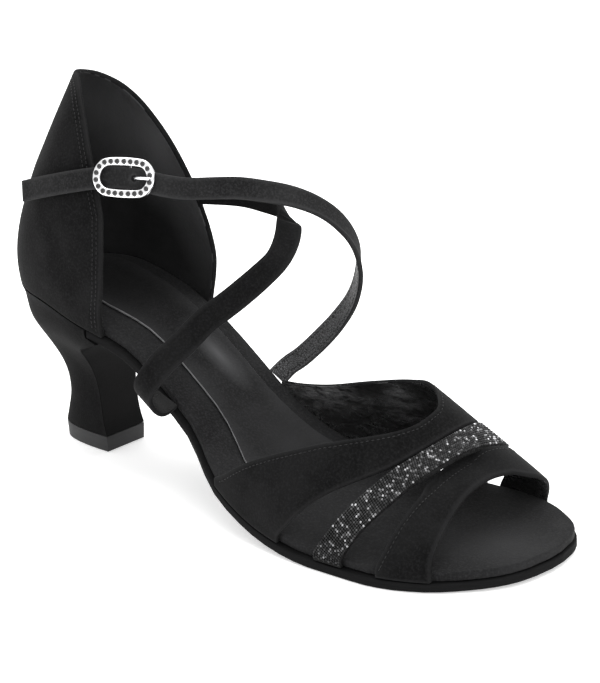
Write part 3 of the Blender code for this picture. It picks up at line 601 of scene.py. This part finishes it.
# Heel: a moulded block covered in the upper's leather.  The cover wraps the back and sides,
# and a smooth breast flap closes the front, with a painted highlight along both corners.
cover_skin = nubuck("heel_cover_leather", (0.0014, 0.0014, 0.0015), (0.0042, 0.0042, 0.0043), 0.02)
breast_skin = Finish("smooth_breast_leather", Roughness=0.42)
breast_haze = breast_skin.noise(60, 3.0, 0.6)
breast_skin.shader.inputs["Specular IOR Level"].default_value = 0.06
breast_skin.set("Base Color", breast_skin.mix(breast_haze, (0.0015, 0.0015, 0.0015),
                                              (0.0040, 0.0040, 0.0041)))
breast_skin.set("Roughness", 0.38 + breast_haze * 0.2)
breast_skin.bump(breast_skin.cells(1200), 0.12, 0.0002)
heel = plain_copy("heel", "heel_dressed")
heel.data.materials.append(cover_skin.material)
heel.data.materials.append(breast_skin.material)
for face in heel.data.polygons:
    face.material_index = 1 if face.normal.x > 0.6 else 0
settle(heel, rounded(0.0005, 2), finer(1))
# Painted highlight: the corners between cover and breast are marked as rims, so the nubuck turns
# lighter there.
work = bmesh.new()
work.from_mesh(heel.data)
corners = [(edge.verts[0].co + edge.verts[1].co) / 2 for edge in work.edges
           if len({face.material_index for face in edge.link_faces}) > 1]
work.free()
mark_rims(heel, corners, 0.0008)
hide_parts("heel")
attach(heel, "root")

# Top lift: a dark moulded tip pinned under the heel, scuffed where it meets the floor.
lift_skin = Finish("grey_top_lift", Roughness=0.5)
lift_wear = lift_skin.noise(120, 4.0, 0.6)
lift_skin.set("Base Color", lift_skin.mix(lift_wear, (0.010, 0.010, 0.010),
                                          (0.032, 0.032, 0.033)))
lift_skin.shader.inputs["Specular IOR Level"].default_value = 0.25
lift_skin.set("Roughness", 0.4 + lift_wear * 0.3)
lift_skin.bump(lift_wear + lift_skin.noise(900) * 0.3, 0.2, 0.0003)
lift = plain_copy("heel_tip", "heel_tip_dressed")
lift.data.materials.append(lift_skin.material)
settle(lift, rounded(0.0003, 2))
bpy.ops.object.shade_smooth_by_angle(angle=math.radians(40))
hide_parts("heel_tip")
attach(lift, "root")


# Counter and quarters: the stiffened high back in one wall, lined.  Two rows of stitches
# follow its topline and front edges outside, and one row follows them on the lining.
TOPLINE_ROWS = [
    # name, inset, trim
    ("topline_stitches", 0.0018, 0.003),
    ("topline_second_row", 0.0034, 0.004),
]


def shaft_axis(spot):
    return Vector((-0.080, 0.0007, spot.z))


BACK_FOLDS = [
    # start, end, width, depth
    ((-0.078, -0.028, 0.094), (-0.062, -0.030, 0.072), 0.0060, 0.00050),
    ((-0.092, -0.022, 0.100), (-0.086, -0.026, 0.084), 0.0055, 0.00035),
    ((-0.066, -0.022, 0.112), (-0.060, -0.026, 0.098), 0.0045, -0.00035),
    ((-0.088, 0.022, 0.100), (-0.066, 0.029, 0.076), 0.0065, 0.00050),
    ((-0.104, -0.006, 0.088), (-0.104, 0.008, 0.086), 0.0070, 0.00045),
    ((-0.098, -0.010, 0.108), (-0.096, 0.010, 0.112), 0.0060, -0.00030),
]
back, back_hems, back_inner = wall_piece(
    "counter", "counter_dressed", shaft_axis, upper_skin, back_lining, 0.0006, 2, BACK_FOLDS
)
for name, inset, trim in TOPLINE_ROWS:
    sew(name, back, back_hems[0], inset, trim)
sew("topline_lining_stitches", back, back_inner[0], 0.0026, 0.004)


# Vamp: the wide band over the ball, higher on the medial side, lined in crinkled patent
# leather that shows from behind.  Its rear edge is turned and sewn.
def foot_axis(spot):
    return Vector((spot.x, 0.0007, 0.012))


patent = Finish(
    "crinkled_patent_lining", Roughness=0.25, IOR=1.45, Coat_IOR=2.1, Coat_Roughness=0.12
)
crumple = patent.noise(150, 8.0, 0.78, (0.7, 1.0, 1.9))
ridges = patent.cells(460, "SMOOTH_F1", "Distance", (1, 1, 1.6))
# Painted shade and painted highlight: the base colour is darker in the crumple troughs and lighter
# on the ridges, and two spots carry a painted reflection.
depth = patent.ramp(crumple, [(0.44, 0.0), (0.64, 1.0)])
painted_shade_and_reflection = patent.mix(depth, (0.001, 0.001, 0.001), (0.022, 0.022, 0.0225))
painted_reflection = patent.mix(depth, (0.010, 0.010, 0.010), (0.320, 0.320, 0.325))
painted_shade_and_reflection = patent.mix(patent.near((0.004, 0.024, 0.032), (0.024, 0.012, 0.010)), painted_shade_and_reflection, painted_reflection)
painted_shade_and_reflection = patent.mix(patent.near((0.036, 0.030, 0.034), (0.012, 0.008, 0.012)), painted_shade_and_reflection, painted_reflection)
patent.set("Base Color", painted_shade_and_reflection)
patent.set("Roughness", 0.42 - depth * 0.28)
patent.set("Coat Weight", depth * 0.8)
patent.bump(crumple * 2.0 + ridges * 0.4, 1.0, 0.0024)
VAMP_FOLDS = [
    # start, end, width, depth
    ((0.026, -0.036, 0.020), (0.040, -0.028, 0.033), 0.0040, 0.00040),
    ((0.034, -0.037, 0.014), (0.052, -0.029, 0.032), 0.0035, -0.00030),
    ((0.044, -0.020, 0.040), (0.062, -0.008, 0.042), 0.0050, 0.00035),
    ((0.020, 0.034, 0.026), (0.044, 0.028, 0.040), 0.0050, 0.00055),
    ((0.004, 0.030, 0.022), (0.026, 0.036, 0.018), 0.0045, -0.00045),
    ((0.036, 0.036, 0.020), (0.056, 0.026, 0.038), 0.0040, 0.00040),
]
vamp, vamp_hems, _ = wall_piece(
    "vamp_band", "vamp_dressed", foot_axis, upper_skin, patent, 0.00045, 2, VAMP_FOLDS
)
sew("vamp_stitches", vamp, vamp_hems[0], 0.0018)

# Toe band: the front strap of the peep toe, of the same nubuck, sewn along its rear hem,
# which lies tucked under the front edge of the glitter strap.
TOE_FOLDS = [
    # start, end, width, depth
    ((0.082, -0.032, 0.014), (0.088, -0.018, 0.028), 0.0040, 0.00035),
    ((0.090, -0.028, 0.014), (0.092, -0.012, 0.026), 0.0030, -0.00025),
    ((0.086, 0.006, 0.029), (0.092, 0.020, 0.026), 0.0040, 0.00030),
]
toe, toe_hems, _ = wall_piece(
    "toe_band", "toe_band_dressed", foot_axis, upper_skin, patent, 0.00045, 2, TOE_FOLDS
)
TUCK_START, TUCK_END = (0.0785, -0.0120, 0.0265), (0.0830, 0.0070, 0.0300)
TOE_TUCK, TOE_TUCK_WIDTH = Vector((-0.0034, 0, -0.0016)), 0.0055
for v in toe.data.vertices:
    v.co += TOE_TUCK * pull(v.co, TUCK_START, TUCK_END, TOE_TUCK_WIDTH)
sew("toe_band_stitches", toe, toe_hems[0], 0.0016)

# Glitter strap: rows of cut glass beads strung on a dark mesh, folded over a leather core.
# Its front edge reaches a little over the toe band, and a few beads at random carry a painted
# glint.
GLITTER_REACH, GLITTER_REACH_WIDTH = Vector((0.0008, 0, 0)), 0.0030
BEAD_ROWS = 11
BEAD_PITCH = 0.00092
BEAD_RADIUS = 0.00045
BEAD_LIFT = 0.00010
BEAD_MARGIN = 0.05
mesh_cloth = Finish("dark_bead_mesh", Roughness=0.7)
mesh_cloth.shader.inputs["Specular IOR Level"].default_value = 0.1
knots = mesh_cloth.cells(900)
mesh_cloth.set("Base Color", mesh_cloth.mix(knots, (0.002, 0.002, 0.002), (0.012, 0.012, 0.012)))
mesh_cloth.bump(knots, 0.8, 0.0004)
sparkle, sparkle_hems, _ = wall_piece(
    "glitter_strap", "glitter_strap_dressed", foot_axis, mesh_cloth, back_lining, 0.0005, 2
)
for v in sparkle.data.vertices:
    v.co += GLITTER_REACH * pull(v.co, TUCK_START, TUCK_END, GLITTER_REACH_WIDTH)
glass = Finish("smoked_glass_beads", Roughness=0.2)
glass.shader.inputs["Specular IOR Level"].default_value = 0.2
painted_glint = glass.own("painted_glint")
glass.set("Base Color", glass.mix(painted_glint, (0.004, 0.004, 0.004), (0.95, 0.95, 0.97)))
glass.set("Metallic", painted_glint)
glass.set("Roughness", 0.30 - painted_glint * 0.20 + glass.noise(600) * 0.1)
bpy.ops.object.select_all(action="DESELECT")
bpy.ops.mesh.primitive_ico_sphere_add(subdivisions=1, radius=BEAD_RADIUS)
bead = bpy.context.object
bead.name = "bead_pattern"
rear_run, front_run = sparkle_hems[0], sparkle_hems[1]
front_back = [(p, inward) for p, inward in reversed(front_run)]
count = int(run_length(rear_run) / BEAD_PITCH * 2)
rear_spots = even(rear_run, run_length(rear_run) / count)
front_spots = even(front_back, run_length(front_back) / count)
bead_places = []
for k in range(2, min(len(rear_spots), len(front_spots)) - 2):
    for row in range(BEAD_ROWS):
        if (k + row) % 2:
            continue
        share = BEAD_MARGIN + (1 - 2 * BEAD_MARGIN) * row / (BEAD_ROWS - 1)
        spot = rear_spots[k][0].lerp(front_spots[k][0], share)
        _, place, normal, _ = sparkle.closest_point_on_mesh(spot)
        bead_places.append((place + normal * BEAD_LIFT, rear_spots[k][1], normal))
beads = row_of("glitter_beads", bead, bead_places)
beads.data.shade_flat()
# Painted glint: the beads vary a little in tone at random, and a few are painted bright and
# metallic, with fewer toward the medial end.
luck = np.random.default_rng(11).random(len(bead_places))
medial_fade = 1.0 - 0.5 * np.linspace(0, 1, len(luck)) ** 2
chance = (0.005 + 0.05 * luck + 0.80 * luck ** 12) * medial_fade
chance = np.repeat(chance, len(bead.data.vertices))
beads.data.attributes.new("painted_glint", "FLOAT", "POINT").data.foreach_set("value", chance)
beads.data.materials.append(glass.material)
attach(beads, "root")


# Ankle strap and cross strap: folded nubuck over a woven core, each lined and sewn along
# both edges of its lining.  The ankle strap's leather is painted a little lighter, as painted
# light from above, and the cross strap's lining is painted dark, as painted shade.
STRAP_INSET = 0.0012


def ankle_heart(spot):
    return Vector((-0.040, 0.0, 0.080))


# Painted light: the ankle strap's leather is set lighter than the rest of the upper, for light from
# above.
ankle_skin_painted_lighter = nubuck("ankle_strap_leather", (0.0095, 0.0095, 0.0098), (0.0170, 0.0170, 0.0174), 0.03)
ankle, _, ankle_inner = wall_piece(
    "ankle_strap", "ankle_strap_dressed", ankle_heart, ankle_skin_painted_lighter, strap_lining, 0.00035
)
for number, run in enumerate(ankle_inner[:2]):
    sew("ankle_lining_stitches_%d" % number, ankle, run, STRAP_INSET)
# Painted shade: the cross strap's lining is painted darker than the other linings.
cross_lining = lining("cross_lining_painted_shade", (0.0035, 0.0035, 0.0036), 0.6)
cross, _, cross_inner = wall_piece(
    "cross_strap", "cross_strap_dressed", ankle_heart, upper_skin, cross_lining, 0.00035
)
for number, run in enumerate(cross_inner[:2]):
    sew("cross_lining_stitches_%d" % number, cross, run, STRAP_INSET)

# Buckle: a cast and polished oval with dark stones glued in drilled seats, a wire prong, and
# a short leather tab that holds its bar to the quarter.
steel = Finish("polished_buckle_metal", Metallic=1.0, Roughness=0.12)
tarnish = steel.noise(300, 3.0, 0.6)
steel.set("Base Color", steel.mix(tarnish, (0.82, 0.82, 0.83), (0.96, 0.96, 0.97)))
steel.set("Roughness", 0.08 + tarnish * 0.14)
ring = plain_copy("buckle_frame", "buckle_frame_dressed")
ring.data.materials.append(steel.material)
settle(ring, finer(1))
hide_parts("buckle_frame")
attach(ring, "root")
prong = plain_copy("buckle_prong", "buckle_prong_dressed")
prong.data.materials.append(steel.material)
settle(prong, finer(2))
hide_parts("buckle_prong")
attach(prong, "root")
wall_piece("buckle_tab", "buckle_tab_dressed", ankle_heart, upper_skin, None, 0.0002)

stone_skin = Finish("smoked_stones", Roughness=0.06, Coat_Weight=0.6, Coat_Roughness=0.04)
facet = stone_skin.cells(700, "F1", "Color")
stone_skin.set("Base Color", stone_skin.mix(facet, (0.001, 0.001, 0.001), (0.012, 0.012, 0.013)))
STONES = 22
STONE_RADIUS = 0.00098
STONE_FLATNESS = 0.55
STONE_SINK = 0.00015
RIM_INSET = 0.0015
OVAL_STEPS = 720
points = np.array([v.co for v in ring.data.vertices])
middle = points.mean(axis=0)
outward = Vector((0.34, -0.94, 0.0)).normalized()
spread_axes = np.linalg.svd(points - middle, full_matrices=False)[2]
along = Vector(spread_axes[0])
along = along if along.x > 0 else -along
climb = Vector(spread_axes[1])
climb = climb if climb.z > 0 else -climb
facing = along.cross(climb)
facing = facing if facing.dot(outward) > 0 else -facing
reach_a = np.abs((points - middle) @ np.array(along)).max() - RIM_INSET
reach_b = np.abs((points - middle) @ np.array(climb)).max() - RIM_INSET
oval = []
for k in range(OVAL_STEPS):
    turn = 2 * math.pi * k / OVAL_STEPS
    straight = reach_a - reach_b
    side = math.copysign(straight, math.cos(turn)) * min(1.0, abs(math.cos(turn)) * 3)
    oval.append((side + reach_b * math.cos(turn), reach_b * math.sin(turn)))
steps = [math.dist(oval[k], oval[(k + 1) % OVAL_STEPS]) for k in range(OVAL_STEPS)]
total = sum(steps)
stone_places, walked, k = [], 0.0, 0
for number in range(STONES):
    goal = total * (number + 0.5) / STONES
    while walked + steps[k] < goal:
        walked += steps[k]
        k += 1
    a, c = oval[k]
    spot = Vector(middle) + along * a + climb * c + facing * 0.004
    _, place, _, _ = ring.closest_point_on_mesh(spot)
    stone_places.append((place - facing * STONE_SINK, along, facing))
bpy.ops.object.select_all(action="DESELECT")
bpy.ops.mesh.primitive_uv_sphere_add(segments=10, ring_count=6, radius=1.0)
stone = bpy.context.object
stone.name = "stone_pattern"
for v in stone.data.vertices:
    v.co = Vector((v.co.x, v.co.y, v.co.z * STONE_FLATNESS)) * STONE_RADIUS
stones = row_of("buckle_stones", stone, stone_places)
stones.data.shade_flat()
stones.data.materials.append(stone_skin.material)
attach(stones, "root")

for pattern in (stitch, bead, stone):
    bpy.data.objects.remove(pattern)
